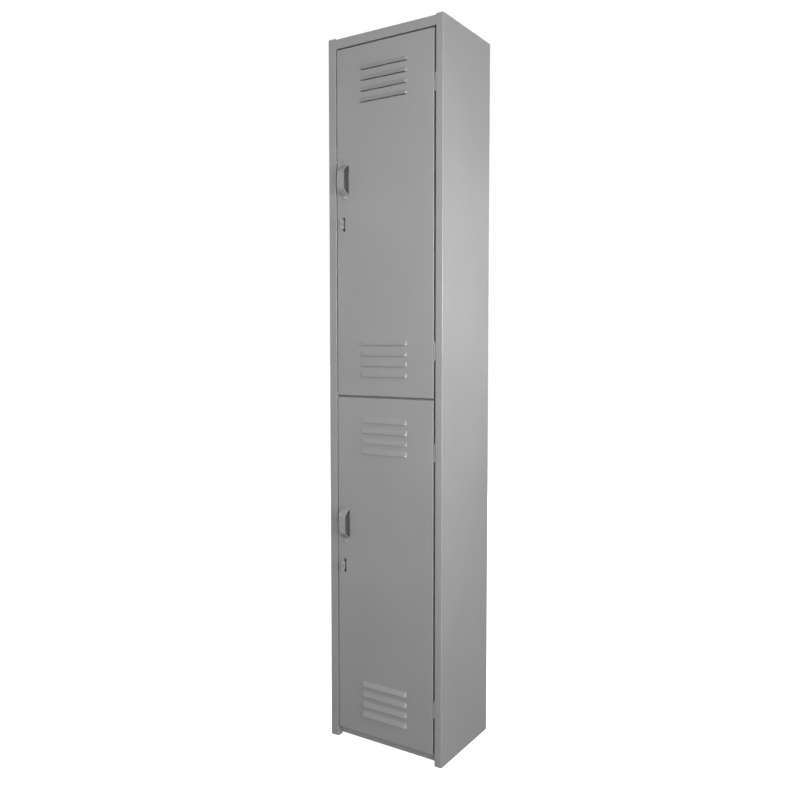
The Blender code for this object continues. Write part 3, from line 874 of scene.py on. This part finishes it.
def build_doors():
    for tier in TIERS:
        body = tier + "_door"
        door = door_skin(tier + "_door_skin", tier)
        stands_for(door, tier + "_door_panel", body)
        cup = handle_shell(tier + "_handle_cup", tier + "_handle")
        stands_for(cup, tier + "_handle", body)
        recess = finger_pan(tier + "_finger_tray", tier + "_finger_pan")
        stands_for(recess, tier + "_finger_pan", body)
        for end in ENDS:
            cad_node = tier + "_handle_" + end + "_rivet"
            head = rivet_head(tier + "_" + end + "_rivet_head", cad_node)
            stands_for(head, cad_node, body)


def build_hinges():
    for tier, end in ((tier, end) for tier in TIERS for end in ENDS):
        body = tier + "_door"
        hinge = body + "_" + end + "_hinge"
        frame_leaf = hinge_leaf(hinge + "_fixed_leaf", hinge + "_frame_leaf", 1, (0, 2))
        stands_for(frame_leaf, hinge + "_frame_leaf", "cabinet")
        door_leaf = hinge_leaf(hinge + "_moving_leaf", hinge + "_door_leaf", -1, (1,))
        stands_for(door_leaf, hinge + "_door_leaf", body)


def dress_cad_nodes():
    """The hinge pins stay as they are in the CAD and get their plating."""
    for name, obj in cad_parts.items():
        if name.endswith("_pin"):
            obj.data.materials.clear()
            obj.data.materials.append(ZINC)


# Stage, lights and camera

def build_floor():
    """A plain pale floor that glows faintly, so that it merges with the backdrop."""
    material = bpy.data.materials.new("studio_floor")
    shader = shader_of(material)[1]
    shader.inputs["Base Color"].default_value = FLOOR_GREY
    shader.inputs["Roughness"].default_value = FLOOR_ROUGHNESS
    shader.inputs["Specular IOR Level"].default_value = 0.0
    shader.inputs["Emission Color"].default_value = WHITE
    shader.inputs["Emission Strength"].default_value = FLOOR_GLOW
    half = FLOOR_HALF
    mesh = bpy.data.meshes.new("studio_floor")
    corners = [(-half, -half, 0), (half, -half, 0), (half, half, 0), (-half, half, 0)]
    mesh.from_pydata(corners, [], [(0, 1, 2, 3)])
    mesh.materials.append(material)
    floor = bpy.data.objects.new("studio_floor", mesh)
    floor.location = (0, 0, -FLOOR_DROP)
    floor.visible_diffuse = False
    floor.visible_glossy = False
    bpy.context.scene.collection.objects.link(floor)


def build_world():
    """White to look at, and a soft dome of light that dims below the horizon."""
    world = bpy.data.worlds.new("studio")
    bpy.context.scene.world = world
    world.use_nodes = True
    tree = world.node_tree
    tree.nodes.clear()
    out = node(tree, "ShaderNodeOutputWorld")
    seen = node(tree, "ShaderNodeBackground", Strength=1.0)
    seen.inputs["Color"].default_value = WHITE
    place = node(tree, "ShaderNodeTexCoord")
    split = node(tree, "ShaderNodeSeparateXYZ")
    tree.links.new(place.outputs["Generated"], split.inputs["Vector"])
    dome = node(tree, "ShaderNodeMapRange")
    dome.inputs["From Min"].default_value = DOME_FROM
    dome.inputs["From Max"].default_value = DOME_TO
    dome.inputs["To Min"].default_value = DOME_BELOW
    dome.inputs["To Max"].default_value = DOME_ABOVE
    tree.links.new(split.outputs["Z"], dome.inputs["Value"])
    light = node(tree, "ShaderNodeBackground")
    light.inputs["Color"].default_value = WHITE
    tree.links.new(dome.outputs["Result"], light.inputs["Strength"])
    path = node(tree, "ShaderNodeLightPath")
    choose = node(tree, "ShaderNodeMixShader")
    tree.links.new(path.outputs["Is Camera Ray"], choose.inputs[0])
    tree.links.new(light.outputs[0], choose.inputs[1])
    tree.links.new(seen.outputs[0], choose.inputs[2])
    tree.links.new(choose.outputs[0], out.inputs["Surface"])


def softbox(name, position, target, size, power, spread):
    """A rectangular lamp that the camera doesn't see."""
    data = bpy.data.lights.new(name, "AREA")
    data.shape = "RECTANGLE"
    data.size, data.size_y = size
    data.energy = power
    data.spread = math.radians(spread)
    lamp = bpy.data.objects.new(name, data)
    lamp.location = position
    lamp.rotation_euler = (Vector(target) - Vector(position)).to_track_quat("-Z", "Y").to_euler()
    lamp.visible_camera = False
    bpy.context.scene.collection.objects.link(lamp)


def build_lights():
    build_world()
    for lamp in SOFTBOXES:
        softbox(*lamp)


def build_camera():
    data = bpy.data.cameras.new("camera")
    data.lens = LENS
    data.sensor_width = SENSOR
    data.shift_y = SHIFT
    camera = bpy.data.objects.new("camera", data)
    camera.location = CAMERA_PLACE
    camera.rotation_euler = (math.radians(90 - CAMERA_DOWN), 0, math.radians(CAMERA_TURN))
    bpy.context.scene.collection.objects.link(camera)
    bpy.context.scene.camera = camera
    bpy.context.scene.view_settings.view_transform = "Standard"


build_carcass()
build_doors()
build_hinges()
dress_cad_nodes()
build_floor()
build_lights()
build_camera()
